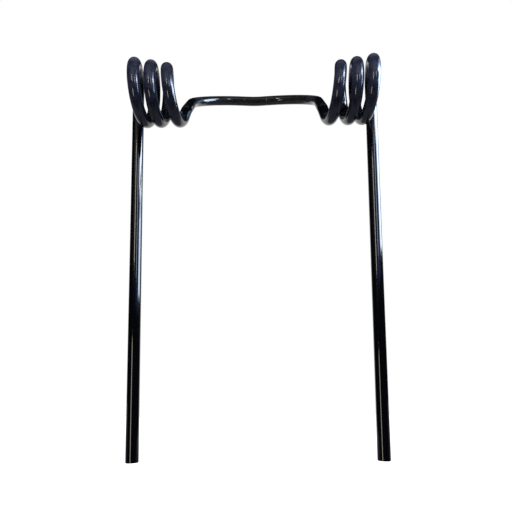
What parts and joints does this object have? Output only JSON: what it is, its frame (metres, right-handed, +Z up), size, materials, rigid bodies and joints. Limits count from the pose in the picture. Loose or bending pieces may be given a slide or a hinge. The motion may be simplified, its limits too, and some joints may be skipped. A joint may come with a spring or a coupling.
{
  "type": "harrow tine",
  "caption": "Harrow spring tine bent from one round bar: straight legs, coils above them, and a loop between the coils whose crossbar clamps to a harrow frame.",
  "frame": {"origin": "on the bar's centreline at the middle of the crossbar, where the harrow's clamp seats", "axes": "+X along the crossbar, +Y from the coils back to the crossbar, +Z up; the legs run down along -Z"},
  "size_m": [0.2792, 0.1914, 0.4674],
  "materials": {
    "black_enamel": "gloss black enamel on drawn spring-steel bar"
  },
  "bodies": {
    "root": {"spring_tine": "black_enamel"}
  },
  "joints": []
}
